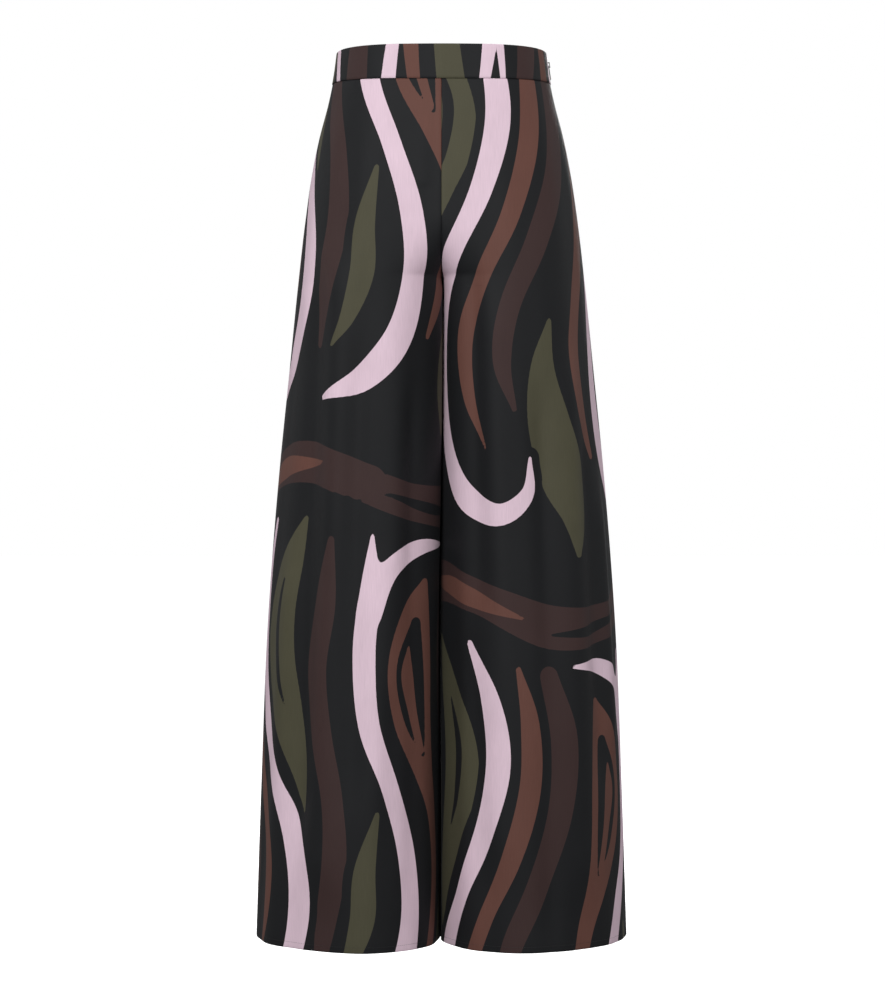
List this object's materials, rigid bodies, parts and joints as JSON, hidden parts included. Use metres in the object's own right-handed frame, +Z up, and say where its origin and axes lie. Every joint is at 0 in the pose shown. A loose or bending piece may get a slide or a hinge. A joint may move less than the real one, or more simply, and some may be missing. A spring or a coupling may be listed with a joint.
{
  "type": "palazzo pants",
  "caption": "High-waisted wide-leg trousers with a plain waistband and a concealed side zip, worn form, hollow.",
  "frame": {"origin": "middle of the waist, level with the seam under the waistband, where the wearer holds the garment", "axes": "+Z up, -Y the front of the garment, +X the wearer's left"},
  "size_m": [0.4734, 0.2885, 1.1255],
  "materials": {
    "cloth": "matt printed twill, charcoal ground with pink, olive and brown figures",
    "band": "matt printed twill, doubled and interfaced",
    "tape": "plain woven polyester zip tape",
    "coil": "dark polyester coil",
    "zip_metal": "dark lacquered metal"
  },
  "bodies": {
    "trousers": {"front_leg_right": "cloth", "front_leg_left": "cloth", "back_leg_right": "cloth", "back_leg_left": "cloth", "waistband_front": "band", "waistband_back": "band", "zip_tape_front": "tape", "zip_tape_back": "tape", "zip_coil": "coil", "zip_slider": "zip_metal"},
    "zip_pull": {"zip_pull": "zip_metal"}
  },
  "joints": [
    {"name": "zip_pull_hinge", "type": "hinge", "parent": "trousers", "child": "zip_pull", "pos_m": [0.13585, 0, 0.02444], "axis": [0, -1, 0], "range_deg": [0, 145]}
  ]
}
